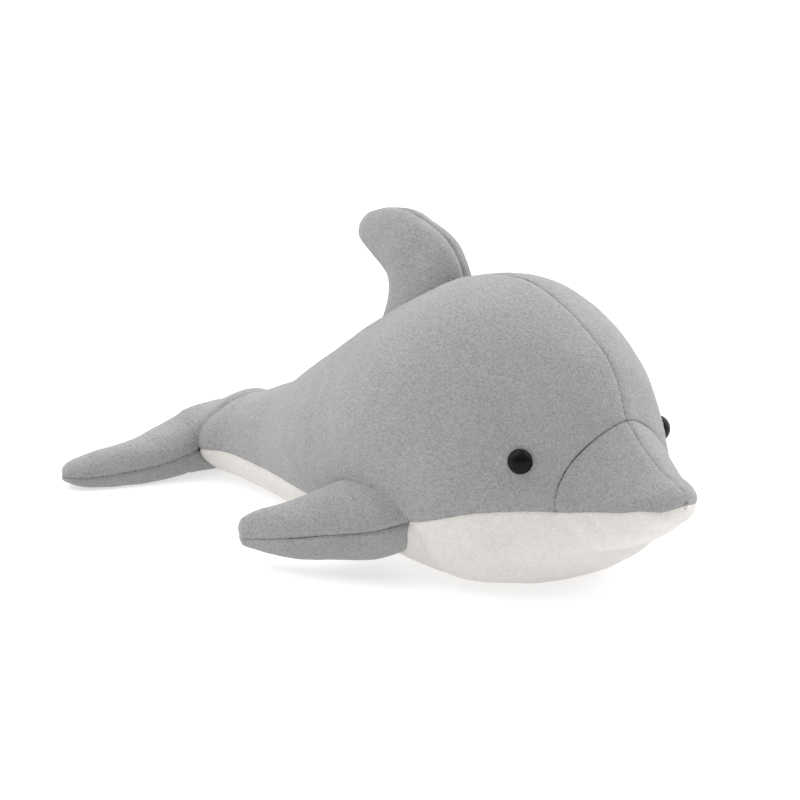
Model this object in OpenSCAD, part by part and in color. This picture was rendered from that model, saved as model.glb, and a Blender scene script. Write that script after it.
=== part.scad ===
// Plush dolphin: sewn fleece panels over fibre filling, with moulded safety eyes.
// X points to the head, Y to the dolphin's left and Z up. It lies on its belly at Z = 0.

/* [Body] */
// Length of the body, from the beak tip to the end of the tail stock
body_length = 354; // [340:1:370]
// Greatest width of the body
body_width = 146; // [138:1:154]
// Height of the back at its highest point
body_height = 145; // [138:1:152]
// Where the beak tip lies on the X axis
nose_x = 194.5; // [184.5:0.5:204.5]

/* [Skin and filling] */
// Thickness of the fleece, with its pile pressed down
skin = 1.6; // [1.2:0.1:2]
// Slack between the fleece and the filling
slack = 0.6; // [0.5:0.05:0.8]
// Gap that a sewn-on fin keeps from the body, so that it can flap
flap_gap = 1.3; // [1:0.1:1.6]

/* [Eyes] */
// Diameter of the domed head of the eye
eye_d = 12; // [9:0.5:14]
// How far the dome stands out of the fleece
eye_height = 3.4; // [3:0.1:5]
// Diameter of the shank
shank_d = 3.8; // [3:0.1:4.2]
// Length of the shank
shank_length = 13; // [10:1:15]
// Diameter of the locking washer
washer_d = 15; // [13:0.5:16]

/* [Fins] */
// Distance of each flipper's root from the beak tip, at the middle of the root
flipper_back = 154; // [150:1:158]
// Stuffed thickness of a flipper, against its normal thickness
flipper_fullness = 1; // [0.8:0.05:1]
// Distance of the middle of the dorsal fin's root from the beak tip
dorsal_back = 184; // [180:1:190]
// Stuffed thickness of the dorsal fin, against its normal thickness
dorsal_fullness = 1; // [0.8:0.05:1.1]
// Half the span of the tail fluke
fluke_half_span = 96; // [88:1:100]

/* [Hidden] */
$fn = 48;

grey = [0.66, 0.66, 0.66];
white = [0.92, 0.90, 0.87];
fibre = [0.97, 0.97, 0.95];
black = [0.05, 0.05, 0.05];
clear = [0.85, 0.87, 0.90];

// Rings of the body from the tail stock to the beak arch. Each row holds the top point and the
// bottom point (distance back from the beak tip, height), the half width, the height of the widest
// place as a share of the ring, how sharp the ridge is, how far the sides bow back, the exponent
// that fills the lower half, and the angle of the grey and white seam below the widest place.
TRUNK = [
    [ 353,    26,  354,   18,    6, 0.50, 0.00,  0, 0.90,   -12],
    [ 346,    38,  350,    7,   22, 0.48, 0.00,  0, 0.90,   -12],
    [ 334,    46,  339,    1,   28, 0.46, 0.00,  0, 0.90,   -10],
    [ 316,    52,  318,    0,   30, 0.45, 0.05,  0, 0.80,    -6],
    [ 284,    66,  284,   -1,   37, 0.42, 0.08,  0, 0.80,   -10],
    [ 244,    91,  244,   -2,   50, 0.42, 0.10,  0, 0.70,   -18],
    [ 199,   118,  199,   -2,   64, 0.40, 0.10,  0, 0.70,   -27],
    [ 154,   140,  154,   -2,   73, 0.38, 0.05,  0, 0.65,   -28],
    [ 114,   145,  114, -2.5,   72, 0.38,    0,  0, 0.57, -19.5],
    [  80, 134.5, 77.5,    1, 61.5, 0.38,  0.1,  3, 0.62,    -8],
    [  52, 113.5,   51,   14,   47, 0.38, 0.14,  8,  0.9,    -6],
    [40.5,  87.5, 31.7, 27.3, 39.3, 0.37, 0.46, 13, 0.88,    -4]
];
// Rings of the beak, from the beak arch to the tip, with the same columns.
BEAK = [
    [40.5, 87.5, 31.7, 27.3, 39.3, 0.37, 0.46,   13, 0.88,   -4],
    [  28, 76.3, 19.7,   33,   30,  0.4, 0.35, 10.3, 0.98,   -2],
    [16.5, 68.3,   12, 38.2,   23, 0.44, 0.31,    8, 0.98, -4.5],
    [ 9.2, 64.5,  5.8, 43.2, 17.3, 0.48, 0.23,    5, 1.05,   -6],
    [ 3.2, 60.8,  3.6,   46, 11.7,  0.5, 0.12,  3.4,    1,   -6],
    [   0,   58,    0,   53,    4,  0.5,    0,    0,    1,   -8]
];
// Each row of a fin holds its leading edge, its trailing edge and its half thickness.
// Flipper, measured from the middle of its root: forward, outward, up.
FLIPPER = [
    [ 32,    0,    -3,   -28,  0,     0,    2],
    [ 24,    8,    -7,   -30,  6,    -4,   10],
    [  7,   17, -10.5,   -34, 13,    -7,   15],
    [-13,   24, -14.5,   -42, 18,   -10, 12.5],
    [-30, 29.5,   -16,   -51, 23, -12.5, 10.5],
    [-46,   32,   -19, -56.5, 27,   -14,  7.5],
    [-54,   32,   -20,   -59, 30,   -18,    2]
];
// Dorsal fin, measured from the beak tip backwards, then the height.
DORSAL = [
    [  156, 0, 139.5,   212, 0,   108,    2],
    [  160, 0, 147.5, 208.5, 0,   121, 11.5],
    [  170, 0,   156,   209, 0, 130.5, 12.5],
    [184.5, 0, 162.5,   213, 0, 135.5,   12],
    [  201, 0, 167.5, 221.5, 0, 140.5, 10.5],
    [220.5, 0,   166, 231.5, 0, 146.5,    8],
    [  234, 0,   158,   236, 0,   153,    2]
];
// Half of the tail fluke: share of the half span, leading edge and trailing edge (distances back
// from the beak tip), middle height, half thickness, and how sharp the edges are: 2 for a lens, and
// 1 or less for a round edge.
FLUKE = [
    [0.00, 355.5,   385,   21,   18, 2.0],
    [0.20, 354.0,   385,   20,   17, 1.8],
    [0.36, 347.5,   384,   16,   14, 1.2],
    [0.56, 353.0,   381, 12.5, 11.8, 0.9],
    [0.78, 361.0, 386.5,  9.5,    9, 0.9],
    [0.94, 370.0,   389,  7.5,  5.5, 1.0],
    [1.00, 377.0,   383,    7,    2, 1.0]
];
// Half thickness that a fin's filling keeps at its thinnest
thinnest = 0.3;
// Rows of a fin that its seam allowance takes up at the root and at the tip
root_allowance = 0.12;
tip_allowance = 0.25;

kx = body_length / 354;
ky = body_width / 146;
kz = body_height / 145;
arch = len(TRUNK) - 1;
tip = arch + len(BEAK) - 1;
trunk_steps = 30;
beak_steps = 10;
side_steps = 10;
belly_steps = 12;
fin_steps = 12;
chord_steps = 10;
eye_u = 9.77;
eye_v = 17;
floor_size = 500;
fluke_steps = 14;

// Eye: how deep its rim sits in the pile, the clearance of its hole, and the ribs on its shank
rim_depth = 0.2;
hole_clearance = 0.4;
ribs = 4;
rib_pitch = 1.8;
rib_height = 0.3;
// Washer: thickness of its plate, and the collar below it
plate = 1.2;
collar = 1.5;
collar_wall = 1.5;
pocket_clearance = 1.5;

// Flipper: height of the middle of its root, and the direction of its thickness
flipper_z = 33;
flipper_tilt = [0.08, 0.14, 0.98];
// Highest and lowest places on the side where the flipper's root still follows the body
flipper_root_z = [8, 50];

function lerp(a, b, t) = a + (b - a) * t;
function unit(v) = v / norm(v);

// A smooth curve through the rows of a table.
function curve(rows, u) =
    let (n = len(rows), i = min(max(floor(u), 0), n - 2), f = u - i, b = rows[i], c = rows[i + 1],
         a = i > 0 ? rows[i - 1] : 2 * b - c, d = i + 2 < n ? rows[i + 2] : 2 * c - b)
    (2 * b + (c - a) * f + (2 * a - 5 * b + 4 * c - d) * f * f + (3 * b - a - 3 * c + d) * f * f * f) / 2;

// The row of the body at u, which runs from the tail stock through the beak arch to the tip.
function ring(u) = u <= arch ? curve(TRUNK, u) : curve(BEAK, u - arch);
function seam_angle(u) = ring(u)[9];

// A point of the body's surface: v is -90 at the belly, 0 at the widest place and 90 on the back.
// inset moves it inward, and side is 1 on the left and -1 on the right.
function body_point(u, v, side, inset = 0) =
    let (r = ring(u), w = max(r[4] * ky - inset, 1),
         top = [nose_x - r[0] * kx, 0, r[1] * kz], bottom = [nose_x - r[2] * kx, 0, r[3] * kz],
         up = unit(top - bottom), height = norm(top - bottom), middle = lerp(bottom, top, r[5]),
         reach = max(height * (v > 0 ? 1 - r[5] : r[5]) - inset, 1),
         flat = max(cos(v), 0),
         width = v > 0 ? (1 - r[6]) * flat + r[6] * flat * flat : pow(flat, r[8]),
         p = middle + up * reach * sin(v) + [-r[7] * flat * flat, side * w * width, 0])
    inset > 0 ? [p[0], p[1], max(p[2], inset)] : p;

function normal_at(u, v, side) =
    let (e = 0.02, d = 1, p = body_point(u, v, side))
    -side * unit(cross(body_point(u + e, v, side) - p, body_point(u, v + d, side) - p));

// The ring of the trunk at a distance behind the beak tip, for the stretch where rings are upright.
function u_at(back, low = 3, high = 10, n = 20) =
    n == 0 ? (low + high) / 2
    : let (m = (low + high) / 2) ring(m)[0] > back ? u_at(back, m, high, n - 1) : u_at(back, low, m, n - 1);
function back_height(back) = body_point(u_at(back), 90, 1)[2];
// Half width of the trunk at a distance behind the beak tip and a height below the widest place.
function side_width(back, z) =
    let (u = u_at(back), r = ring(u), low = r[3] * kz, belly = (r[1] - r[3]) * r[5] * kz)
    body_point(u, asin(max(min((z - low) / belly - 1, 0), -1)), 1)[1];

// Faces that close the space between an outer and an inner grid of points.
function shell_faces(rows, cols) =
    let (n = rows * cols)
    concat(
        [for (i = [0:rows - 2], j = [0:cols - 2]) let (a = i * cols + j)
            each [[a, a + 1, a + cols], [a + 1, a + cols + 1, a + cols]]],
        [for (i = [0:rows - 2], j = [0:cols - 2]) let (a = n + i * cols + j)
            each [[a, a + cols, a + 1], [a + 1, a + cols, a + cols + 1]]],
        [for (j = [0:cols - 2], i = [0, rows - 1]) let (a = i * cols + j)
            each (i == 0 ? [[a, a + n, a + 1], [a + 1, a + n, a + n + 1]]
                         : [[a, a + 1, a + n], [a + 1, a + n + 1, a + n]])],
        [for (i = [0:rows - 2], j = [0, cols - 1]) let (a = i * cols + j)
            each (j == 0 ? [[a, a + cols, a + n], [a + cols, a + n + cols, a + n]]
                         : [[a, a + n, a + cols], [a + cols, a + n, a + n + cols]])]
    );
module shell(outer, inner, flip = false) {
    faces = shell_faces(len(outer), len(outer[0]));
    points = concat([for (row = outer) each row], [for (row = inner) each row]);
    polyhedron(points, flip ? [for (f = faces) [f[2], f[1], f[0]]] : faces, convexity = 6);
}

// Faces of a closed loft: rings of the same number of points, with a cap at each end.
module loft(rings, flip = false) {
    rows = len(rings);
    cols = len(rings[0]);
    first = [for (p = rings[0]) 1] * rings[0] / cols;
    last = [for (p = rings[rows - 1]) 1] * rings[rows - 1] / cols;
    sides = [for (i = [0:rows - 2], j = [0:cols - 1])
        let (a = i * cols + j, b = i * cols + (j + 1) % cols)
        each [[a, b, a + cols], [b, b + cols, a + cols]]];
    caps = [for (j = [0:cols - 1]) let (k = (j + 1) % cols, end = (rows - 1) * cols)
        each [[k, j, rows * cols], [end + j, end + k, rows * cols + 1]]];
    faces = concat(sides, caps);
    polyhedron(concat([for (r = rings) each r], [first, last]),
        flip ? [for (f = faces) [f[2], f[1], f[0]]] : faces, convexity = 6);
}

// One side panel between two places along the body, from the grey and white seam to the back seam.
module side_panel(from, to, steps, side) {
    function grid(inset) = [for (i = [0:steps])
        let (u = lerp(from, to, i / steps), low = seam_angle(u))
        [for (j = [0:side_steps]) body_point(u, lerp(low, 90, j / side_steps), side, inset)]];
    shell(grid(0), grid(skin), side > 0);
}
module eye_place(side) {
    p = body_point(eye_u, eye_v, side);
    n = normal_at(eye_u, eye_v, side);
    translate(p) rotate([0, acos(n[2]), atan2(n[1], n[0])]) children();
}
module body_panel(side) {
    color(grey) difference() {
        side_panel(0, arch, trunk_steps, side);
        eye_place(side) cylinder(d = shank_d + hole_clearance, h = 8 * skin, center = true);
    }
}
module beak_panel(side) {
    color(grey) side_panel(arch, tip, beak_steps, side);
}
module belly_panel() {
    places = concat([for (i = [0:trunk_steps]) arch * i / trunk_steps],
                    [for (i = [1:beak_steps]) lerp(arch, tip, i / beak_steps)]);
    function grid(inset) = [for (u = places)
        [for (j = [-belly_steps:belly_steps])
            let (v = lerp(-90, seam_angle(u), abs(j) / belly_steps))
            body_point(u, v, j < 0 ? -1 : 1, inset)]];
    color(white) difference() {
        shell(grid(0), grid(skin), true);
        translate([-floor_size / 2, -floor_size / 2, -floor_size]) cube(floor_size);
    }
}
module body_stuffing() {
    places = concat([for (i = [0:trunk_steps]) arch * i / trunk_steps],
                    [for (i = [1:beak_steps]) lerp(arch, tip - 0.4, i / beak_steps)]);
    inset = skin + slack;
    half = 16;
    rings = [for (u = places) concat(
        [for (j = [0:half - 1]) body_point(u, -90 + 180 * j / half, 1, inset)],
        [for (j = [0:half - 1]) body_point(u, 90 - 180 * j / half, -1, inset)])];
    pocket = shank_length + 2;
    color(fibre) difference() {
        loft(rings, true);
        for (side = [-1, 1])
            eye_place(side) translate([0, 0, -pocket])
                cylinder(d = washer_d + pocket_clearance, h = pocket + skin);
    }
}

// Safety eye: domed head, ribbed shank, and the locking washer behind the fleece.
module eye(side) {
    r = eye_d / 2;
    dome_r = (r * r + eye_height * eye_height) / (2 * eye_height);
    core = shank_d / 2 - rib_height;
    rib = [[0, -0.6], [core, -0.6], [shank_d / 2, 0.4], [0, 0.4]];
    color(black) eye_place(side) rotate_extrude()
        union() {
            intersection() {
                translate([0, eye_height - dome_r + rim_depth]) circle(r = dome_r, $fn = 96);
                translate([0, rim_depth]) square([r, eye_height]);
            }
            translate([0, -shank_length]) square([core, shank_length + 1]);
            for (i = [1:ribs])
                translate([0, -shank_length + i * rib_pitch]) polygon(rib);
        }
}
module eye_washer(side) {
    depth = skin + 1 + plate;
    color(clear) eye_place(side) translate([0, 0, -depth]) difference() {
        union() {
            cylinder(d = washer_d, h = plate);
            translate([0, 0, -collar]) cylinder(d = shank_d + 2 * collar_wall, h = collar + plate / 2);
        }
        cylinder(d = shank_d + hole_clearance / 2, h = 4 * collar, center = true);
    }
}

// Half thickness of a fin's surface, which keeps the fleece off the thinnest filling.
function half_thickness(h, inset) = max(h - inset, thinnest + skin + slack - inset);
// A stuffed fin from a table of rows. t runs over the chord, and lift is 1 above and -1 below.
function fin_point(rows, u, t_angle, lift, thick, full, inset) =
    let (last = len(rows) - 1, extra = max(inset - skin, 0) / 10,
         v = inset > 0 ? lerp(root_allowance + extra, last - tip_allowance - extra, u / last) : u,
         r = curve(rows, v), le = [r[0], r[1], r[2]], te = [r[3], r[4], r[5]],
         chord = unit(te - le), t = (1 - cos(t_angle)) / 2, h = half_thickness(r[6] * full, inset))
    lerp(le + chord * inset, te - chord * inset, t) + lift * thick * h * sin(t_angle);
function fin_grid(rows, lift, thick, full, inset) = [for (i = [0:fin_steps])
    [for (j = [0:chord_steps])
        fin_point(rows, (len(rows) - 1) * i / fin_steps, 180 * j / chord_steps, lift, thick, full, inset)]];
function fin_loops(rows, thick, full, inset) = [for (i = [0:fin_steps])
    let (u = (len(rows) - 1) * i / fin_steps)
    concat([for (j = [0:chord_steps - 1])
                fin_point(rows, u, 180 * j / chord_steps, 1, thick, full, inset)],
           [for (j = [0:chord_steps - 1])
                fin_point(rows, u, 180 - 180 * j / chord_steps, -1, thick, full, inset)])];
// Shifts the root row so that it follows the body, less and less towards the tip.
function seat(grid, fit) = [for (i = [0:len(grid) - 1])
    let (share = pow(1 - i / (len(grid) - 1), 3))
    [for (p = grid[i]) p + share * fit(p)]];

// Flipper, in its own frame at the middle of its root: forward, outward, up.
flipper_up = unit(flipper_tilt);
flipper_y = side_width(flipper_back, flipper_z) + flap_gap;
function flipper_fit(p) =
    let (z = min(max(flipper_z + p[2], flipper_root_z[0]), flipper_root_z[1]))
    [0, side_width(flipper_back - p[0], z) + flap_gap - flipper_y, 0];
module flipper_place(side) {
    translate([nose_x - flipper_back * kx, side * flipper_y, flipper_z])
        mirror([0, side > 0 ? 0 : 1, 0]) children();
}
function flipper_seat(grid) = seat(grid, function (p) flipper_fit(p));
module flipper_panel(side, lift) {
    outer = flipper_seat(fin_grid(FLIPPER, lift, flipper_up, flipper_fullness, 0));
    inner = flipper_seat(fin_grid(FLIPPER, lift, flipper_up, flipper_fullness, skin));
    color(grey) flipper_place(side) shell(outer, inner, lift < 0);
}
module flipper_stuffing(side) {
    color(fibre) flipper_place(side)
        loft(flipper_seat(fin_loops(FLIPPER, flipper_up, flipper_fullness, skin + slack)));
}

// Dorsal fin: its root follows the back.
dorsal_shift = dorsal_back - (DORSAL[0][0] + DORSAL[0][3]) / 2;
function dorsal_root_z(back) =
    let (front = DORSAL[0][0] + dorsal_shift, rear = DORSAL[0][3] + dorsal_shift)
    lerp(DORSAL[0][2], DORSAL[0][5], (back - front) / (rear - front)) * kz;
function dorsal_seat(grid) = seat(
    [for (row = grid) [for (p = row) [nose_x - (p[0] + dorsal_shift) * kx, p[1], p[2] * kz]]],
    function (p) let (back = (nose_x - p[0]) / kx)
        [0, 0, back_height(back) + flap_gap - dorsal_root_z(back)]);
module dorsal_panel(side) {
    outer = dorsal_seat(fin_grid(DORSAL, side, [0, 1, 0], dorsal_fullness, 0));
    inner = dorsal_seat(fin_grid(DORSAL, side, [0, 1, 0], dorsal_fullness, skin));
    color(grey) shell(outer, inner, side > 0);
}
module dorsal_stuffing() {
    color(fibre) loft(dorsal_seat(fin_loops(DORSAL, [0, 1, 0], dorsal_fullness, skin + slack)), true);
}

// Tail fluke: both lobes in one piece, sewn on at the end of the tail stock.
function fluke_point(share, t_angle, lift, inset) =
    let (r = curve(FLUKE, fluke_row(abs(share))),
         t = (1 - cos(t_angle)) / 2, h = half_thickness(r[4], inset),
         back = lerp(r[1] + inset, r[2] - inset, t))
    [nose_x - back * kx, share * (fluke_half_span - inset), r[3] + lift * h * pow(sin(t_angle), r[5])];
// The row of the table at a share of the half span.
function fluke_row(share, low = 0, high = len(FLUKE) - 1, n = 20) =
    n == 0 ? (low + high) / 2
    : let (m = (low + high) / 2)
      curve(FLUKE, m)[0] < share ? fluke_row(share, m, high, n - 1) : fluke_row(share, low, m, n - 1);
function fluke_share(i) = sin(90 * i / fluke_steps);
function fluke_grid(lift, inset) = [for (i = [-fluke_steps:fluke_steps])
    [for (j = [0:chord_steps]) fluke_point(fluke_share(i), 180 * j / chord_steps, lift, inset)]];
module fluke_panel(lift) {
    color(grey) shell(fluke_grid(lift, 0), fluke_grid(lift, skin), lift < 0);
}
module fluke_stuffing() {
    inset = skin + slack;
    loops = [for (i = [-fluke_steps:fluke_steps]) concat(
        [for (j = [0:chord_steps - 1]) fluke_point(fluke_share(i), 180 * j / chord_steps, 1, inset)],
        [for (j = [0:chord_steps - 1])
            fluke_point(fluke_share(i), 180 - 180 * j / chord_steps, -1, inset)])];
    color(fibre) loft(loops);
}

body_panel(1);  // body_panel_left
body_panel(-1);  // body_panel_right
belly_panel();
beak_panel(1);  // beak_panel_left
beak_panel(-1);  // beak_panel_right
body_stuffing();
eye(1);  // eye_left
eye(-1);  // eye_right
eye_washer(1);  // eye_washer_left
eye_washer(-1);  // eye_washer_right
flipper_panel(1, 1);  // flipper_left_top_panel
flipper_panel(1, -1);  // flipper_left_bottom_panel
flipper_stuffing(1);  // flipper_left_stuffing
flipper_panel(-1, 1);  // flipper_right_top_panel
flipper_panel(-1, -1);  // flipper_right_bottom_panel
flipper_stuffing(-1);  // flipper_right_stuffing
dorsal_panel(1);  // dorsal_fin_left_panel
dorsal_panel(-1);  // dorsal_fin_right_panel
dorsal_stuffing();  // dorsal_fin_stuffing
fluke_panel(1);  // fluke_top_panel
fluke_panel(-1);  // fluke_bottom_panel
fluke_stuffing();
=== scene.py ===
"""Plush dolphin: sewn fleece panels, stuffed fins, stitching and studio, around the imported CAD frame.

Shapes are worked out in millimetres, with X to the head, Y to the dolphin's left and Z up, and
become metres when a mesh is made.
"""

import math

import bmesh
import bpy
import numpy as np
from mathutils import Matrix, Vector
from mathutils.bvhtree import BVHTree


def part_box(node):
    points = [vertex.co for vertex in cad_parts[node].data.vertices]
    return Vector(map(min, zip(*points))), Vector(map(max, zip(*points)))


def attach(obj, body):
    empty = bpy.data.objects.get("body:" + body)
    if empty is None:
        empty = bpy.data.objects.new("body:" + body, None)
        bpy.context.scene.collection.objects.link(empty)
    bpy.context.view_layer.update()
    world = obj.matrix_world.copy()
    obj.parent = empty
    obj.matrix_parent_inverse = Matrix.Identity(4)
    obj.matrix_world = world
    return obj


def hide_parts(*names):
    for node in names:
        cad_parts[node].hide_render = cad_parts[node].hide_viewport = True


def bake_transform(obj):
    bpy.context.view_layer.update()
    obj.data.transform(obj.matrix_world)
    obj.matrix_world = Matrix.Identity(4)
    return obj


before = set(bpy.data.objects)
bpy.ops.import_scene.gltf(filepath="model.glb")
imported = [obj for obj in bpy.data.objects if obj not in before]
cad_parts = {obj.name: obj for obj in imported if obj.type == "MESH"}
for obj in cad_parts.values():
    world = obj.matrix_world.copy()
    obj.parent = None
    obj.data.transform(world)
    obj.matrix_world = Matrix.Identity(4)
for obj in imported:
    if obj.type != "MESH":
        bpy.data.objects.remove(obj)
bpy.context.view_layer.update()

MM = 0.001
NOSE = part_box("beak_panel_left")[1].x / MM
HALF_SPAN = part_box("fluke_top_panel")[1].y / MM
# Places along X in the tables of the fins, the tail stock and the folds are laid out with the beak tip
# at 201. This moves them to where it is.
FORWARD = NOSE - 201

# Rings of the body from the tail stock to the beak arch. Each row holds the top point and the bottom
# point (distance back from the beak tip, height), the half width, the height of the widest place as
# a share of the ring, how sharp the ridge is, how far the sides bow back, the exponent that fills
# the lower half, and the angle of the grey and white seam below the widest place. The head, the beak
# and the fins started from a fit to the photo's outline.
TRUNK = np.array([
    [356, 36, 358, 4, 23, 0.46, 0.00, 0, 0.90, -12],
    [346, 42, 350, 2, 27, 0.46, 0.00, 0, 0.90, -12],
    [334, 47.5, 339, 1, 29, 0.46, 0.00, 0, 0.90, -10],
    [316, 52.5, 318, 0, 30, 0.45, 0.05, 0, 0.80, -6],
    [284, 66, 284, -1, 37, 0.42, 0.08, 0, 0.80, -10],
    [244, 91, 244, -2, 50, 0.42, 0.10, 0, 0.70, -18],
    [199, 118, 199, -2, 64, 0.40, 0.10, 0, 0.70, -27],
    [154, 140, 154, -2, 73, 0.38, 0.05, 0, 0.65, -28],
    [114, 145, 114, -2.5, 72, 0.38, 0, 0, 0.57, -19.5],
    [80, 134.5, 77.5, 1, 61.5, 0.38, 0.1, 3, 0.62, -8],
    [52, 113.5, 51, 14, 47, 0.38, 0.14, 8, 0.9, -6],
    [40.5, 87.5, 31.7, 27.3, 39.3, 0.37, 0.46, 13, 0.88, -4],
], float)
# Rings of the beak, from the arch to the tip, with the same columns.
BEAK = np.array([
    [40.5, 87.5, 31.7, 27.3, 39.3, 0.37, 0.46, 13, 0.88, -4],
    [28, 76.3, 19.7, 33, 30, 0.4, 0.35, 10.3, 0.98, -2],
    [16.5, 68.3, 12, 38.2, 23, 0.44, 0.31, 8, 0.98, -4.5],
    [9, 65.2, 5.8, 43, 18, 0.48, 0.23, 4.6, 1.02, -6.5],
    [3, 61.6, 3, 45.2, 12.6, 0.5, 0.1, 2.2, 0.95, -8],
    [1, 59, 1, 49, 7.2, 0.5, 0.05, 0.9, 1, -8],
    [0.2, 56, 0.2, 53, 0.3, 0.5, 0, 0, 1, -8],
], float)
TOP_BACK, TOP_HEIGHT, BOTTOM_BACK, BOTTOM_HEIGHT, HALF_WIDTH, WIDEST, RIDGE, BOW, FILL, SEAM = range(10)
# A flipper from root to tip: leading edge and trailing edge (forward, outward, up), thickness above
# and below the chord. Both flippers are built from it.
FLIPPER = np.array([
    [82, 70, 33.5, 19, 67, 32, 15.5, 23],
    [73, 80, 29.5, 17.5, 77, 31, 13.5, 22.5],
    [53, 90, 25, 13.5, 86, 28.5, 12, 19.5],
    [34, 98, 20.5, 5, 92, 25, 10.5, 16],
    [17, 103.5, 17, -4, 97, 20.5, 10.5, 11.5],
    [1, 106, 14, -9, 101, 18, 9, 8],
    [-1.5, 107, 12, -12.5, 102, 17, 8, 7],
], float)
FLIPPER_UP = np.array([0.08, 0.14, 0.98])  # the direction of a flipper's thickness
# Dorsal fin from root to tip, in the same form: its chord lies in the plane of symmetry.
DORSAL = np.array([
    [45.5, 0, 139.5, -12, 0, 107, 15.5, 15.5],
    [41, 0, 147.6, -7.5, 0, 121, 14, 14],
    [33, 0, 156.5, -8, 0, 130.5, 13, 13],
    [18.5, 0, 163.3, -12, 0, 135.3, 12.5, 12.5],
    [1, 0, 168, -20.5, 0, 140.5, 11, 11],
    [-18.5, 0, 167.5, -31.5, 0, 145, 9.5, 9.5],
    [-32, 0, 164, -36.5, 0, 147, 8, 8],
], float)
# Half of the tail fluke: share of the half span, leading edge and trailing edge (distances back from
# the beak tip), seam height, thickness above and below the seam, and 2 for a lens or 1 or less for a
# round edge.
FLUKE = np.array([
    [0.00, 350.0, 384, 20, 15, 19, 2.0],
    [0.20, 349.5, 384, 18.3, 15.2, 17.3, 1.6],
    [0.36, 349.0, 384, 14.6, 13.4, 14.2, 0.9],
    [0.56, 353.0, 381.5, 10.8, 12.5, 11, 0.7],
    [0.78, 361.0, 386.5, 8.3, 11.4, 8.8, 0.8],
    [0.94, 367.0, 391, 7.3, 9.4, 7.3, 0.8],
    [1.00, 370.0, 390, 7, 8.8, 7, 0.8],
], float)
SHARE, LEAD, TRAIL, SEAM_HEIGHT, ABOVE, BELOW, SHARPNESS = range(7)
# The fleece over the end of the tail stock: place along X, then the heights of its top, its bottom and
# its middle, and its half width.
STOCK = np.array([
    [-190, 20, 20, 21, 12],
    [-182, 23.5, 14, 21, 19],
    [-165, 33, 4, 20, 25.5],
    [-148, 44, 1.5, 20, 28.5],
    [-137, 48.6, 1, 21, 30],
    [-126, 50.3, 1, 22, 31],
    [-115, 52.5, 0.5, 22, 31],
], float)
STOCK[:, 0] += FORWARD
for fin in (FLIPPER, DORSAL):
    fin[:, [0, 3]] += FORWARD
ARCH = len(TRUNK) - 1
TIP = ARCH + len(BEAK) - 1
EYE_PLACE = (9.77, 17)  # ring and angle, as body_point takes them
FLEECE_THICK = 1.6
COLLAR = 26  # half width of the tail stock where the fluke is sewn on
SIDE_GROOVE, END_GROOVE = 0.6, 0.35  # depths of the body's long seams and of the seams across it
FIN_GROOVE = 0.35
PUCKERS = (6.1, 8.7, 12.9, 21.0)  # lengths of the waves that make a seam uneven
BODY_LOWEST, FLUKE_LOWEST = 0.25, 0.3  # least heights of the fleece over the floor
SEWN_IN = 1.3  # how far a fin's root lies below the fleece of the body
FLIPPER_EDGE, DORSAL_EDGE = 0.8, 0.7  # 1 is an elliptic edge and less is a blunter one


# ---------------------------------------------------------------- curves and grids
def unit(v):
    """Vectors of length one."""
    return v / np.maximum(np.linalg.norm(v, axis=-1, keepdims=True), 1e-9)


def mix(a, b, t):
    """The value at share t of the way from a to b."""
    return a + (b - a) * t


def curve(rows, u):
    """A smooth curve through the rows of a table."""
    u = np.asarray(u, float)
    last = len(rows) - 1
    i = np.clip(np.floor(u).astype(int), 0, last - 1)
    f = (u - i)[..., None]
    b, c = rows[i], rows[i + 1]
    a = np.where((i > 0)[..., None], rows[np.maximum(i - 1, 0)], 2 * b - c)
    d = np.where((i + 2 <= last)[..., None], rows[np.minimum(i + 2, last)], 2 * c - b)
    return (2 * b + (c - a) * f + (2 * a - 5 * b + 4 * c - d) * f**2 + (3 * b - a - 3 * c + d) * f**3) / 2


def crowded(n, edge=0.55):
    """n numbers from 0 to 1 that stand closer together near both ends."""
    s = np.linspace(0, 1, n)
    return s - edge * np.sin(2 * np.pi * s) / (2 * np.pi)


def lengths(points, axis):
    """Distance travelled along an axis of a grid of points."""
    steps = np.linalg.norm(np.diff(points, axis=axis), axis=-1)
    start = np.zeros_like(np.take(steps, [0], axis))
    return np.concatenate([start, np.cumsum(steps, axis)], axis)


def edge_distances(points):
    """Distances of a grid's points from its first and last row and its first and last column."""
    down, across = lengths(points, 0), lengths(points, 1)
    return down, down[-1:] - down, across, across[:, -1:] - across


def grid_normals(points, outward):
    """Normals of a grid of points, turned to face away from the point outward gives for each."""
    n = unit(np.cross(np.gradient(points, axis=0), np.gradient(points, axis=1)))
    sign = np.sign(np.sum(n * (points - outward)))
    return n * (sign if sign else 1)


def waves(points, seed, shortest, longest, count=26):
    """A smooth random field of about -1 to 1, the sum of waves between two lengths in mm."""
    rng = np.random.default_rng(seed)
    direction = unit(rng.normal(size=(count, 3)))
    length = rng.uniform(shortest, longest, count)
    phase = rng.uniform(0, 2 * np.pi, count)
    angle = points @ (direction * (2 * np.pi / length)[:, None]).T + phase
    return np.sin(angle).sum(-1) / math.sqrt(count)


def hill(distance, width, power=2):
    """A smooth hill: 1 at distance 0, falling to 0 over width."""
    return np.exp(-((distance / width) ** power))


# ---------------------------------------------------------------- body surface
def ring(u):
    """The row of the body at u, which runs from the tail stock through the beak arch to the tip."""
    u = np.asarray(u, float)
    on_trunk = (u <= ARCH)[..., None]
    return np.where(on_trunk, curve(TRUNK, np.minimum(u, ARCH)), curve(BEAK, np.maximum(u - ARCH, 0)))


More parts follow.
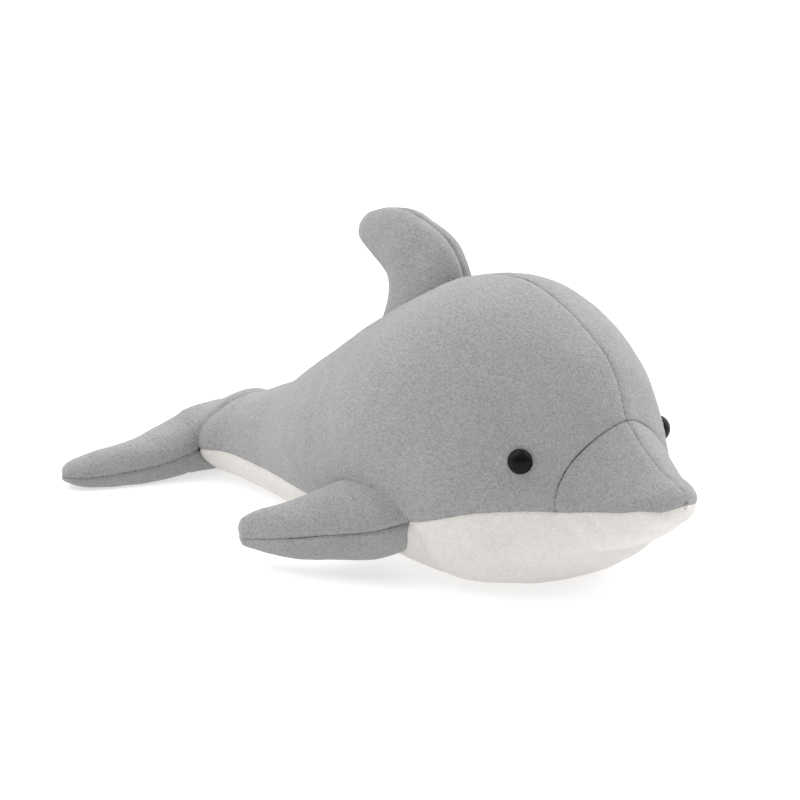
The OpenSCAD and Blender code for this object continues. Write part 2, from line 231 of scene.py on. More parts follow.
def body_point(u, v, side):
    """A point of the body: v is -90 at the belly, 0 at the widest place and 90 on the back."""
    r = ring(u)
    v = np.radians(v)
    flat = np.maximum(np.cos(v), 0)
    upper = (1 - r[..., RIDGE]) * flat + r[..., RIDGE] * flat**2
    width = np.where(v > 0, upper, np.maximum(flat, 1e-6) ** r[..., FILL])
    share = np.where(v > 0, 1 - r[..., WIDEST], r[..., WIDEST])
    height = r[..., WIDEST] + share * np.sin(v)
    x = NOSE - mix(r[..., BOTTOM_BACK], r[..., TOP_BACK], height) - r[..., BOW] * flat**2
    y = side * r[..., HALF_WIDTH] * width
    z = mix(r[..., BOTTOM_HEIGHT], r[..., TOP_HEIGHT], height)
    return np.stack([x, y, z], -1)


def eye_point(side):
    """The place of an eye on the body."""
    return body_point(np.array(EYE_PLACE[0]), np.array(EYE_PLACE[1]), side)


def places(u0, u1, n):
    """Values of u between two rings, evenly spread along the body and crowded at both ends."""
    u = np.linspace(u0, u1, 400)
    along = lengths(body_point(u, 30.0, 1)[:, None], 0)[:, 0]
    return np.interp(crowded(n) * along[-1], along, u)


def rest_on_floor(points, softness=2.2, lowest=0.3):
    """Flattens what would reach below the floor."""
    lift = points[..., 2] - lowest
    points[..., 2] = lowest + (lift + np.sqrt(lift**2 + softness**2)) / 2
    return points


def line_field(points, line, width):
    """How near each point is to a line of points: 1 on it, falling to 0 over width."""
    near = np.full(points.shape[:-1], 1e9)
    line = np.asarray(line, float)
    for a, b in zip(line[:-1], line[1:]):
        t = np.clip((points - a) @ (b - a) / ((b - a) @ (b - a)), 0, 1)
        near = np.minimum(near, np.linalg.norm(points - a - t[..., None] * (b - a), axis=-1))
    return hill(near, width)


# Folds of the white fleece, for the right side: points, depth and width. The left side has them too.
FOLDS = [
    ([(80, -70, 33), (87, -67, 28), (86, -61, 18), (84, -52, 9), (89, -42, 4), (98, -36, 2)], 2.2, 3.2),
    ([(153, -39, 47), (159, -34, 39), (163, -26, 29), (165, -14, 23), (170, -3, 25)], 1.0, 4.0),
    ([(168, -31, 46), (171, -27, 41), (171, -22, 35)], 0.5, 2.5),
    ([(165, 14, 24), (168, 0, 25), (165, -14, 24)], 1.2, 4.5),
]
# Soft swellings between the folds: centre, height and width.
SWELLS = [((104, -58, 14), 2.2, 20), ((150, -33, 26), 1.0, 15), ((62, -62, 16), 0.8, 16)]


def mirrored(point, side):
    """A place of the folds' tables, on the right side for 1 and on the left side for -1."""
    return (point[0] + FORWARD, -side * point[1], point[2])


def eye_dent(points, side, dome=5.2, rim=7.9, drawn_in=13):
    """The fleece dips under the eye's dome, hugs its rim and is drawn in round it."""
    r = np.linalg.norm(points - eye_point(side), axis=-1)
    under = -0.9 * hill(r, dome, 6)
    hug = 0.45 * hill(r - rim, 1.2)
    pull = -1.3 * hill(r, drawn_in) * (1 - hill(r, 6, 6))
    return under + hug + pull


def lumps(points, seed, broad, fine):
    """Lumps of filling from broad and fine waves, each given as a height and two wave lengths."""
    return broad[0] * waves(points, seed, *broad[1:]) + fine[0] * waves(points, seed + 1, *fine[1:])


def body_relief(points):
    """Lumps of filling, folds and the pull of the eyes, along the normal."""
    height = lumps(points, 11, (0.45, 38, 90), (0.16, 14, 30))
    for s in (-1, 1):
        for line, depth, width in FOLDS:
            height = height - depth * line_field(points, [mirrored(p, s) for p in line], width)
        for centre, up, width in SWELLS:
            r = np.linalg.norm(points - np.array(mirrored(centre, s)), axis=-1)
            height = height + up * hill(r, width)
        height = height + eye_dent(points, s)
    return height


def seam_groove(distance, along, depth, seed, width=1.1):
    """Fleece drawn in at a seam, with small uneven puckers beside it."""
    rng = np.random.default_rng(seed)
    phase = rng.uniform(0, 2 * np.pi, len(PUCKERS))
    uneven = sum(np.sin(2 * np.pi * along / w + p) for w, p in zip(PUCKERS, phase)) / len(PUCKERS)
    dip = -depth * hill(distance, width, 1.6) * (1 + 0.5 * uneven)
    pucker = 0.18 * uneven * hill(distance - 2.5, 3.2)
    roll = 0.15 * hill(distance - 4.5, 3)
    return dip + pucker + roll


# ---------------------------------------------------------------- meshes
def new_object(name, vertices, faces, material):
    """A smooth-shaded object from points in mm."""
    mesh = bpy.data.meshes.new(name)
    mesh.from_pydata((np.asarray(vertices) * MM).tolist(), [], faces)
    mesh.validate()
    mesh.polygons.foreach_set("use_smooth", [True] * len(mesh.polygons))
    mesh.materials.append(material)
    obj = bpy.data.objects.new(name, mesh)
    bpy.context.scene.collection.objects.link(obj)
    return obj


def quads(rows, cols, start=0, flip=False):
    """Faces of a grid of points."""
    found = []
    for i in range(rows - 1):
        for j in range(cols - 1):
            a = start + i * cols + j
            face = (a, a + 1, a + cols + 1, a + cols)
            found.append(face[::-1] if flip else face)
    return found


def rim(rows, cols):
    """The grid's border, as indices in order round it."""
    top = list(range(cols))
    right = [i * cols + cols - 1 for i in range(1, rows)]
    bottom = [(rows - 1) * cols + j for j in range(cols - 2, -1, -1)]
    left = [i * cols for i in range(rows - 2, 0, -1)]
    return top + right + bottom + left


def fleece_panel(name, points, normals, material):
    """A closed sheet of fleece whose outer face is the grid, with its cut edges turned inward."""
    rows, cols = points.shape[:2]
    inner = points - normals * FLEECE_THICK
    count = rows * cols
    edge = rim(rows, cols)
    i, j = rows // 2, cols // 2
    n = np.cross(points[i + 1, j] - points[i, j], points[i, j + 1] - points[i, j])
    flip = float(n @ normals[i, j]) > 0
    faces = quads(rows, cols, 0, flip) + quads(rows, cols, count, not flip)
    for a, b in zip(edge, edge[1:] + edge[:1]):
        face = (b, a, a + count, b + count)
        faces.append(face[::-1] if flip else face)
    return new_object(name, np.concatenate([points.reshape(-1, 3), inner.reshape(-1, 3)]), faces, material)


def stitch_line(points, normals, rng, pitch=3.1, length=2.1, radius=0.24, sides=6, rings=5):
    """Vertices and faces of a row of stitches along a line of points."""
    along = lengths(points[:, None], 0)[:, 0]
    vertices, faces = [], []
    for k in range(int(along[-1] / pitch)):
        middle = (k + 0.5) * pitch + rng.uniform(-0.25, 0.25)
        long = length * rng.uniform(0.55, 1.1)
        s = middle + long * np.linspace(-0.5, 0.5, rings)
        p = np.stack([np.interp(s, along, points[:, i]) for i in range(3)], -1)
        n = unit(np.stack([np.interp(s, along, normals[:, i]) for i in range(3)], -1))
        t = unit(p[-1] - p[0])
        across = unit(np.cross(t, n))
        arc = 1 - (np.linspace(-1, 1, rings) ** 2)
        p = p + n * (0.3 * arc - rng.uniform(0.28, 0.42))[:, None] + across * rng.uniform(-0.15, 0.15)
        thick = radius * (0.45 + 0.55 * np.sqrt(arc))
        start = len(vertices)
        for i in range(rings):
            for j in range(sides):
                a = 2 * np.pi * j / sides
                vertices.append(p[i] + thick[i] * (n[i] * math.cos(a) + across[i] * math.sin(a)))
        faces += [
            (start + i * sides + j, start + i * sides + (j + 1) % sides,
             start + (i + 1) * sides + (j + 1) % sides, start + (i + 1) * sides + j)
            for i in range(rings - 1) for j in range(sides)
        ]
        faces.append(tuple(start + j for j in range(sides))[::-1])
        faces.append(tuple(start + (rings - 1) * sides + j for j in range(sides)))
    return vertices, faces


def stitching(name, seams, material, seed):
    """One object with the stitches of several seams, each a pair of points and normals."""
    rng = np.random.default_rng(seed)
    vertices, faces = [], []
    for points, normals in seams:
        v, f = stitch_line(np.asarray(points), np.asarray(normals), rng)
        faces += [tuple(i + len(vertices) for i in face) for face in f]
        vertices += v
    return new_object(name, np.array(vertices), faces, material)


# ---------------------------------------------------------------- materials
COLOUR_A, COLOUR_B, COLOUR_RESULT = 6, 7, 2  # a Mix node's sockets for colours


def principled(name, colour, roughness, **sockets):
    """A material whose constant values sit on the shader's own sockets."""
    material = bpy.data.materials.new(name)
    material.use_nodes = True
    shader = material.node_tree.nodes["Principled BSDF"]
    shader.inputs["Base Color"].default_value = (*colour, 1)
    shader.inputs["Roughness"].default_value = roughness
    for socket, value in sockets.items():
        shader.inputs[socket.replace("_", " ")].default_value = value
    return material, material.node_tree, shader


def add_node(tree, kind, **values):
    """A new node with its inputs or its properties set by name."""
    node = tree.nodes.new(kind)
    for key, value in values.items():
        if key in node.inputs:
            node.inputs[key].default_value = value
        else:
            setattr(node, key, value)
    return node


def noise_node(tree, vector, scale, detail, roughness=0.55):
    """The value of a noise texture."""
    node = add_node(tree, "ShaderNodeTexNoise", Scale=scale, Detail=detail, Roughness=roughness)
    tree.links.new(vector, node.inputs["Vector"])
    return node.outputs["Fac"]


def ramp(tree, fac, stops):
    """Maps a value through a colour ramp of (position, colour) stops."""
    node = tree.nodes.new("ShaderNodeValToRGB")
    elements = node.color_ramp.elements
    while len(elements) < len(stops):
        elements.new(0.5)
    for element, (position, colour) in zip(elements, stops):
        element.position = position
        element.color = (*colour, 1)
    tree.links.new(fac, node.inputs["Fac"])
    return node.outputs["Color"]


def shades(colour, low, high):
    """A darker and a lighter shade of a colour."""
    return tuple(c * low for c in colour), tuple(min(c * high, 1) for c in colour)


def fleece(name, colour, contrast=1.0):
    """Short brushed pile: fine grain, soft clumps, faint colour drift and a dusty sheen."""
    material, tree, shader = principled(
        name, colour, 0.95, Sheen_Weight=0.25, Sheen_Roughness=0.45, Specular_IOR_Level=0.12
    )
    shader.inputs["Sheen Tint"].default_value = (*[min(c * 1.6 + 0.2, 1) for c in colour], 1)
    where = tree.nodes.new("ShaderNodeTexCoord").outputs["Object"]
    stretch = add_node(tree, "ShaderNodeMapping", Scale=(0.55, 1.0, 1.0))
    tree.links.new(where, stretch.inputs["Vector"])
    grain = noise_node(tree, stretch.outputs["Vector"], 1150, 3, 0.6)
    clumps = noise_node(tree, stretch.outputs["Vector"], 420, 3)
    drift = noise_node(tree, where, 38, 2)
    dark, light = shades(colour, 1 - 0.26 * contrast, 1 + 0.2 * contrast)
    pile = ramp(tree, grain, [(0.3, dark), (0.5, colour), (0.72, light)])
    tint = ramp(tree, clumps, [(0.3, (0.95,) * 3), (0.7, (1.0,) * 3)])
    cloud = ramp(tree, drift, [(0.3, (0.95,) * 3), (0.7, (1.0,) * 3)])
    for factor in (tint, cloud):
        node = add_node(tree, "ShaderNodeMix", data_type="RGBA", blend_type="MULTIPLY")
        node.inputs["Factor"].default_value = 1.0
        tree.links.new(pile, node.inputs[COLOUR_A])
        tree.links.new(factor, node.inputs[COLOUR_B])
        pile = node.outputs[COLOUR_RESULT]
    tree.links.new(pile, shader.inputs["Base Color"])
    rough = add_node(tree, "ShaderNodeMapRange", **{"To Min": 0.86, "To Max": 1.0})
    tree.links.new(clumps, rough.inputs["Value"])
    tree.links.new(rough.outputs["Result"], shader.inputs["Roughness"])
    coarse = add_node(tree, "ShaderNodeBump", Strength=0.5, Distance=0.0008)
    tree.links.new(clumps, coarse.inputs["Height"])
    fine = add_node(tree, "ShaderNodeBump", Strength=0.9, Distance=0.0006)
    tree.links.new(grain, fine.inputs["Height"])
    tree.links.new(coarse.outputs["Normal"], fine.inputs["Normal"])
    tree.links.new(fine.outputs["Normal"], shader.inputs["Normal"])
    return material


def thread(name, colour):
    """Twisted sewing thread."""
    material, tree, shader = principled(name, colour, 0.8, Sheen_Weight=0.2)
    where = tree.nodes.new("ShaderNodeTexCoord").outputs["Object"]
    twist = noise_node(tree, where, 2600, 2)
    dark, light = shades(colour, 0.7, 1.25)
    tree.links.new(ramp(tree, twist, [(0.3, dark), (0.7, light)]), shader.inputs["Base Color"])
    bump = add_node(tree, "ShaderNodeBump", Strength=0.5, Distance=0.0001)
    tree.links.new(twist, bump.inputs["Height"])
    tree.links.new(bump.outputs["Normal"], shader.inputs["Normal"])
    return material


def moulded(name, colour, roughness, **sockets):
    """Moulded plastic with a trace of unevenness in its gloss."""
    material, tree, shader = principled(name, colour, roughness, **sockets)
    where = tree.nodes.new("ShaderNodeTexCoord").outputs["Object"]
    smudge = noise_node(tree, where, 260, 3)
    gloss = add_node(tree, "ShaderNodeMapRange", **{"To Min": roughness * 0.8, "To Max": roughness * 1.5})
    tree.links.new(smudge, gloss.inputs["Value"])
    tree.links.new(gloss.outputs["Result"], shader.inputs["Roughness"])
    dark, light = shades(colour, 0.85, 1.15)
    tree.links.new(ramp(tree, smudge, [(0.35, dark), (0.65, light)]), shader.inputs["Base Color"])
    return material


GREY = fleece("grey_fleece", (0.33, 0.33, 0.331))
WHITE = fleece("white_fleece", (0.72, 0.693, 0.664), 0.35)
# Painted shade: the thread is much darker than the fleece so that it stands in for the shadow in the
# stitch holes it is pulled into.
THREAD_PAINTED_HOLE_SHADE = thread("thread_with_painted_hole_shade", (0.13, 0.13, 0.13))
BLACK = moulded("black_eye", (0.005, 0.005, 0.005), 0.2, Specular_IOR_Level=0.09)
CLEAR = moulded("clear_washer", (0.72, 0.76, 0.78), 0.35)


# ---------------------------------------------------------------- cloth simulation
SWELL = 0.7  # how far the fleece may swell between its seams
SWELL_FRAMES = 20
PRESSURE = 4
FADE = 8  # distance from a fin's root and tip over which its swelling sets in
ON_FLOOR = 1.6  # lower points of the body rest on the floor and stay where they are
NEAR_EYE = 9  # so do the points this near to an eye
COARSE = (22, 12)  # rows and columns of a fin's coarse faces


def closed_form(loops):
    """An object whose rows of points are closed loops, with a face over each end."""
    rows, cols = loops.shape[:2]
    faces = []
    for i in range(rows - 1):
        for j in range(cols):
            a, b = i * cols + j, i * cols + (j + 1) % cols
            faces.append((a, b, b + cols, a + cols))
    faces += [tuple(range(cols))[::-1], tuple((rows - 1) * cols + j for j in range(cols))]
    obj = new_object("swelling", loops.reshape(-1, 3), faces, GREY)
    shape = bmesh.new()
    shape.from_mesh(obj.data)
    bmesh.ops.recalc_face_normals(shape, faces=shape.faces)
    shape.to_mesh(obj.data)
    shape.free()
    return obj


def add_cloth(obj, pinned):
    """A cloth modifier that presses the object out from inside, with the pinned points held."""
    group = obj.vertex_groups.new(name="pinned")
    group.add([int(i) for i in np.flatnonzero(pinned)], 1.0, "REPLACE")
    cloth = obj.modifiers.new("Cloth", "CLOTH")
    cloth.settings.quality, cloth.settings.mass = 4, 0.3
    cloth.settings.vertex_group_mass = "pinned"
    cloth.settings.use_pressure = True
    cloth.settings.uniform_pressure_force = PRESSURE
    cloth.settings.effector_weights.gravity = 0
    cloth.point_cache.frame_start, cloth.point_cache.frame_end = 1, SWELL_FRAMES


def swell(loops, pinned):
    """How far each point of a closed form of loops moves when its cloth is pressed out from inside.

    Pinned points, on the seams, stay where they are. The simulation runs on a coarse copy, which is
    removed again, and its result is added to the fine panels.
    """
    obj = closed_form(loops)
    add_cloth(obj, pinned)
    scene = bpy.context.scene
    for frame_number in range(1, SWELL_FRAMES + 1):
        scene.frame_set(frame_number)
    result = obj.evaluated_get(bpy.context.evaluated_depsgraph_get()).data
    found = np.empty(len(result.vertices) * 3)
    result.vertices.foreach_get("co", found)
    scene.frame_set(1)
    mesh = obj.data
    bpy.data.objects.remove(obj)
    bpy.data.meshes.remove(mesh)
    move = found.reshape(loops.shape) / MM - loops
    size = np.linalg.norm(move, axis=-1, keepdims=True)
    move = move * np.minimum(1, SWELL / np.maximum(size, 1e-6))
    for _ in range(3):
        move[1:-1] = (move[:-2] + 2 * move[1:-1] + move[2:]) / 4
    return move


def sampled(field, i, j):
    """A grid of values read between its rows and columns."""
    rows, cols = field.shape[:2]
    i = np.clip(i, 0, rows - 1)
    j = np.clip(j, 0, cols - 1)
    i0 = np.minimum(i.astype(int), rows - 2)
    j0 = np.minimum(j.astype(int), cols - 2)
    a, b = (i - i0)[..., None], (j - j0)[..., None]
    near = mix(field[i0, j0], field[i0, j0 + 1], b)
    far = mix(field[i0 + 1, j0], field[i0 + 1, j0 + 1], b)
    return mix(near, far, a)


def both_faces(push, count):
    """The loops' moves as two grids, one for the first count columns and one for the way back."""
    around = 2 * count - 2
    return push[:, :count], push[:, [(around - k) % around for k in range(count)]]


def body_swelling(rows=66, low=9, high=15):
    """The swelling of the body's fleece, as a function of the ring and of the place round it."""
    u = np.linspace(0, TIP - 0.3, rows)
    w = np.concatenate([np.linspace(0, 1, low + 1), np.linspace(1, 2, high + 1)[1:]])
    uu, ww = u[:, None] + 0 * w, w[None] + 0 * u[:, None]
    halves = [rest_on_floor(body_point(uu, seam_place(uu, ww), side)) for side in (1, -1)]
    loops = np.concatenate([halves[0], halves[1][:, -2:0:-1]], axis=1)
    count = len(w)
    pinned = np.zeros(loops.shape[:2], bool)
    pinned[[0, -1]] = True
    pinned[np.abs(u - ARCH).argmin()] = True
    for column in (low, count - 1, 2 * count - 2 - low):
        pinned[:, column] = True
    pinned |= loops[..., 2] < ON_FLOOR
    for side in (1, -1):
        pinned |= np.linalg.norm(loops - eye_point(side), axis=-1) < NEAR_EYE
    left, right = both_faces(swell(loops, pinned), count)

    def swelling(u_place, w_place, side):
        i = np.interp(u_place, u, np.arange(rows))
        j = np.interp(w_place, w, np.arange(count))
        return np.where((np.asarray(side) > 0)[..., None], sampled(left, i, j), sampled(right, i, j))

    return swelling


def fin_swelling(top, bottom, ends):
    """The swelling of a fin from its coarse faces; ends says which end rows have no width."""
    chord = top.shape[1]
    loops = np.concatenate([top, bottom[:, -2:0:-1]], axis=1)
    first = 1 if ends[0] else 0
    last = len(loops) - 1 if ends[1] else len(loops)
    pinned = np.zeros((last - first, loops.shape[1]), bool)
    pinned[[0, -1]] = True
    pinned[:, [0, chord - 1]] = True
    push = np.zeros_like(loops)
    push[first:last] = swell(loops[first:last], pinned)
    return both_faces(push, chord)


def stretched(field, shape):
    """A coarse grid of values spread over a finer grid."""
    i = np.linspace(0, field.shape[0] - 1, shape[0])[:, None] + np.zeros(shape[1])
    j = np.linspace(0, field.shape[1] - 1, shape[1])[None] + np.zeros((shape[0], 1))
    return sampled(field, i, j)


def swollen(points, push, *edges):
    """A fin's points moved by its swelling, which sets in with the distance from some edges."""
    if push is None:
        return points
    fade = np.clip(np.minimum.reduce(edges) / FADE, 0, 1)[..., None]
    return points + stretched(push, points.shape[:2]) * fade


# ---------------------------------------------------------------- body panels
CORE = np.array([60 + FORWARD, 0, 55])  # a place deep inside the body


def seam_place(u, w):
    """The angle at w: 0 at the belly, 1 at the grey and white seam and 2 on the back."""
    seam = ring(u)[..., SEAM]
    return np.where(w < 1, mix(-90.0, seam, w), mix(seam, 90.0, w - 1))


def finish_grid(grid, seams):
    """Adds the swelling, the relief and the seam grooves to a grid. Returns the points and normals."""
    u, w, side = grid
    points = rest_on_floor(body_point(u, seam_place(u, w), side))
    normals = grid_normals(points, CORE)
    if SWELLING:
        points = points + SWELLING(u, w, side)
    first, last, left, right = edge_distances(points)
    height = body_relief(points)
    along_rows, along_cols = lengths(points, 0), lengths(points, 1)
    for edge, distance, along in (
        ("first", first, along_cols), ("last", last, along_cols),
        ("left", left, along_rows), ("right", right, along_rows),
    ):
        if edge in seams:
            depth = END_GROOVE if edge in ("first", "last") else SIDE_GROOVE
            near_tip = np.clip((TIP - u) / 2, 0.1, 1)
            height = height + near_tip * seam_groove(distance, along, depth, seams[edge])
    lifted = points + normals * height[..., None]
    lifted[..., 2] = np.maximum(lifted[..., 2], BODY_LOWEST)
    return lifted, grid_normals(lifted, CORE)


SWELLING = body_swelling()


def side_grid(u0, u1, rows, cols, side):
    """Places on a side panel, from the grey and white seam to the seam over the back."""
    u = places(u0, u1, rows)[:, None] + np.zeros(cols)
    return u, 1 + crowded(cols) + np.zeros((rows, 1)), np.full(u.shape, side)


def belly_grid(rows, half):
    """Places on the belly panel, from the right seam to the left one."""
    u = places(0, TIP, rows)[:, None] + np.zeros(2 * half + 1)
    share = 2 * crowded(2 * half + 1) - 1 + np.zeros((rows, 1))
    return u, np.abs(share), np.where(share < 0, -1, 1)


def build_body():
    """The five panels of the body. Returns them by name with their grids."""
    made = {}
    for side, word in ((1, "left"), (-1, "right")):
        for name, u0, u1, rows, cols, seams in (
            ("back_panel", 0, ARCH, 210, 64, {"last": 3, "left": 5, "right": 7}),
            ("beak_cover", ARCH, TIP, 44, 40, {"first": 3, "left": 8, "right": 9}),
        ):
            points, normals = finish_grid(side_grid(u0, u1, rows, cols, side), seams)
            piece = fleece_panel(f"{name}_{word}", points, normals, GREY)
            made[f"{name}_{word}"] = (piece, points, normals)
    points, normals = finish_grid(belly_grid(230, 46), {"left": 5, "right": 5})
    piece = fleece_panel("belly_panel_white", points, normals, WHITE)
    made["belly_panel_white"] = (piece, points, normals)
    return made


BODY = build_body()
for word in ("left", "right"):
    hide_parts(f"body_panel_{word}")
    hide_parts(f"beak_panel_{word}")
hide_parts("belly_panel", "body_stuffing")


def body_tree():
    """The body's outer surface, for finding where a fin meets it."""
    vertices, faces = [], []
    for _, points, _ in BODY.values():
        rows, cols = points.shape[:2]
        faces += quads(rows, cols, len(vertices))
        vertices += points.reshape(-1, 3).tolist()
    return BVHTree.FromPolygons(vertices, faces)


SURFACE = body_tree()


def on_body(point, direction, far=200):
    """Where a ray through the point, travelling along direction, meets the body from outside."""
    d = Vector(direction).normalized()
    hit = SURFACE.ray_cast(Vector(point) - d * far, d)[0]
    if hit is None:
        hit = SURFACE.find_nearest(Vector(point))[0]
    return np.array(hit)


# ---------------------------------------------------------------- flippers and dorsal fin
def fin_grid(rows, span, chord, lift, thick, round_edge=1.0):
    """One face of a stuffed fin: rows from root to tip, columns from leading to trailing edge."""
    last = len(rows) - 1
    u = last * (1 - (1 - crowded(span, 0.4)) ** 1.5)
    r = curve(rows, u)[:, None]
    a = np.linspace(0, np.pi, chord)[None, :, None]
    taper = np.sqrt(1 - (u / last) ** 7)[:, None, None]
    middle = (r[..., 0:3] + r[..., 3:6]) / 2
    half = (r[..., 0:3] - r[..., 3:6]) / 2 * taper
    h = (r[..., 6:7] if lift > 0 else r[..., 7:8]) * taper
    return middle + half * np.cos(a) + lift * thick * h * np.sin(a) ** round_edge


def seat_on_body(points, direction, sink):
    """Moves the root row onto the body, and the rest less and less towards the tip."""
    shift = np.array([on_body(p, direction) + sink * np.array(direction) - p for p in points[0]])
    share = (1 - np.linspace(0, 1, len(points))) ** 6
    return points + share[:, None, None] * shift[None]


def fin_relief(points, core, seed, push=None):
    """Swelling, lumps of filling and the groove of the seam round a fin."""
    normals = grid_normals(points, core)
    first, last, left, right = edge_distances(points)
    points = swollen(points, push, first, last)
    height = lumps(points, seed, (0.3, 22, 50), (0.12, 9, 18))
    along_rows, along_cols = lengths(points, 0), lengths(points, 1)
    for distance, along in ((left, along_rows), (right, along_rows), (last, along_cols)):
        height = height + seam_groove(distance, along, FIN_GROOVE, seed)
    lifted = points + normals * (height * np.clip(first / 4, 0, 1))[..., None]
    return lifted, grid_normals(lifted, core)


def build_flipper(side, word):
    """The names, points and normals of a flipper's top and bottom panels."""
    sign = np.array([1, side, 1])
    thick = unit(FLIPPER_UP)
    out = (0, -side, 0)
    core = (FLIPPER[2:5, 0:3].mean(0) + FLIPPER[2:5, 3:6].mean(0)) / 2 * sign
    pieces = []
    pushes = (None, None)
    coarse = [fin_grid(FLIPPER, *COARSE, lift, thick, FLIPPER_EDGE) * sign for lift in (1, -1)]
    pushes = fin_swelling(*coarse, (False, True))
    for lift, face, push in ((1, "top", pushes[0]), (-1, "bottom", pushes[1])):
        points = fin_grid(FLIPPER, 54, 40, lift, thick, FLIPPER_EDGE) * sign
        points = seat_on_body(points, out, SEWN_IN)
        points, normals = fin_relief(points, core, 31 + lift, push)
        pieces.append((f"flipper_{word}_{face}", points, normals))
    return pieces


def hinge_blend(obj):
    """Bakes the piece's placement into its mesh."""
    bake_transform(obj)


def edge_stitches(top, bottom, skip_root=2):
    """Seams along the two edges of a fin, from its panels' shared border."""
    seams = []
    for column in (0, -1):
        line = (top[1][:, column] + bottom[1][:, column]) / 2
        normal = unit(top[2][:, column] + bottom[2][:, column])
        seams.append((line[skip_root:-1], normal[skip_root:-1]))
    return seams


def flippers():
    """Both flippers with their stitches."""
    for side, word in ((1, "left"), (-1, "right")):
        top, bottom = build_flipper(side, word)
        for (name, points, normals), face in ((top, "top"), (bottom, "bottom")):
            obj = fleece_panel(name, points, normals, GREY)
            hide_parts(f"flipper_{word}_{face}_panel")
            if face == "bottom":
                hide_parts(f"flipper_{word}_stuffing")
            hinge_blend(obj)
        obj = stitching(f"flipper_{word}_stitches", edge_stitches(top, bottom), THREAD_PAINTED_HOLE_SHADE, 41)
        hinge_blend(obj)


def dorsal_fin():
    """The dorsal fin's two panels and their stitches."""
    core = np.array([FORWARD, 0, 140])
    made = []
    thick = np.array([0.0, 1, 0])
    pushes = (None, None)
    coarse = [fin_grid(DORSAL, *COARSE, lift, thick, DORSAL_EDGE) for lift in (1, -1)]
    pushes = fin_swelling(*coarse, (False, True))
    for lift, word, push in ((1, "left", pushes[0]), (-1, "right", pushes[1])):
        points = fin_grid(DORSAL, 50, 38, lift, thick, DORSAL_EDGE)
        points = seat_on_body(points, (0, 0, -1), SEWN_IN)
        points, normals = fin_relief(points, core, 51 + lift, push)
        made.append((f"dorsal_fin_{word}", points, normals))
    for (name, points, normals), word in zip(made, ("left", "right")):
        obj = fleece_panel(name, points, normals, GREY)
        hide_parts(f"dorsal_fin_{word}_panel")
        if word == "right":
            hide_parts("dorsal_fin_stuffing")
        hinge_blend(obj)
    obj = stitching("dorsal_fin_stitches", edge_stitches(*made), THREAD_PAINTED_HOLE_SHADE, 52)
    hinge_blend(obj)


# ---------------------------------------------------------------- tail fluke
CREST = 23  # how far the top panel reaches forward over the tail stock
BOTTOM_SHARPNESS = 0.45  # how sharp the bottom panel's edges are, against the top panel's


def fluke_rows(y):
    """The fluke's table at distances y from the middle."""
    share = np.clip(np.abs(y) / HALF_SPAN, 0, 1)
    u = np.linspace(0, len(FLUKE) - 1, 600)
    table = curve(FLUKE, u)
    order = np.maximum.accumulate(table[:, SHARE])
    return curve(FLUKE, np.interp(share, order, u))


def stock_section(x):
    """Middle height, half height above and below, and half width of the fleece over the stock's end."""
    top, low, middle, wide = (np.interp(x, STOCK[:, 0], STOCK[:, k]) for k in range(1, 5))
    return middle, top - middle, middle - low, wide


def stock_rise(x, y, t, seam, lift):
    """How far the fleece over the stock stands above the fluke's seam, or below it for lift -1."""
    middle, above, below, wide = stock_section(x)
    round_part = np.sqrt(np.clip(1 - (y / wide) ** 2, 0, 1))
    stock = (lift * (middle - seam) + (above if lift > 0 else below)) * round_part
    # It ends before the rear edge and, beyond the collar, closes at the front edge too.
    outside = np.clip((np.abs(y) - COLLAR) / 3 + 1, 0, 1)
    closed = mix(1.0, np.sqrt(np.clip(t / 0.15, 0, 1)), outside)
    return stock * closed * np.clip((1 - t) / 0.25, 0, 1)


def soft_max(a, b, k):
    """The greater of two values, rounded over where they are closer than about k."""
    return (a + b + np.sqrt((a - b) ** 2 + k**2)) / 2


def fluke_grid(lift, span, chord):
    """One face of the fluke: rows from the right tip to the left tip, columns from front to back."""
    s = np.sin(np.linspace(-np.pi / 2, np.pi / 2, span))
    y = (HALF_SPAN * s)[:, None] + np.zeros(chord)
    r = fluke_rows(y)
    taper = np.sqrt(np.clip(1 - np.abs(s) ** 14, 0, 1))[:, None]
    centre = (r[..., LEAD] + r[..., TRAIL]) / 2
    half = (r[..., TRAIL] - r[..., LEAD]) / 2 * taper
    lead, trail = centre - half, centre + half
    seam = r[..., SEAM_HEIGHT]
    thickness = r[..., ABOVE if lift > 0 else BELOW] * taper
    inside = np.clip(np.abs(y) / COLLAR, 0, 1)
    reach = (CREST if lift > 0 else 0) * (1 - inside**2.2)
    t = (1 - np.cos(np.linspace(0, np.pi, chord)[None])) / 2
    x = mix(NOSE - lead + reach, NOSE - trail, t)
    lobe_t = np.clip((NOSE - lead - x) / np.maximum(trail - lead, 1e-3), 0, 1)
    sharp = r[..., SHARPNESS] * (1 if lift > 0 else BOTTOM_SHARPNESS)
    lens = np.maximum(4 * lobe_t * (1 - lobe_t), 0) ** (sharp / 2)
    lobe = thickness * lens
    stock = stock_rise(x, y, t, seam, lift)
    blend = 9.0 * np.clip(stock / 5, 0, 1) * np.clip(lobe / 5, 0, 1)
    higher = np.maximum(lobe, stock)
    rise = higher + (soft_max(lobe, stock, blend) - higher) * 0.7
    return np.stack([x, y, seam + lift * rise], -1)


def seat_collar(points, lift):
    """Sets the front edge between the lobes on the tail stock, a little below its surface."""
    for i in range(points.shape[0]):
        y = points[i, 0, 1]
        if abs(y) < COLLAR:
            hit = on_body((points[i, 0, 0], y, 21), (0, 0, -lift))
            drop = (hit[2] - lift * 0.6 - points[i, 0, 2]) * min(1, (COLLAR - abs(y)) / 2)
            points[i, :, 2] += drop * hill(np.linalg.norm(points[i] - points[i, 0], axis=-1), 3.5)
    return points


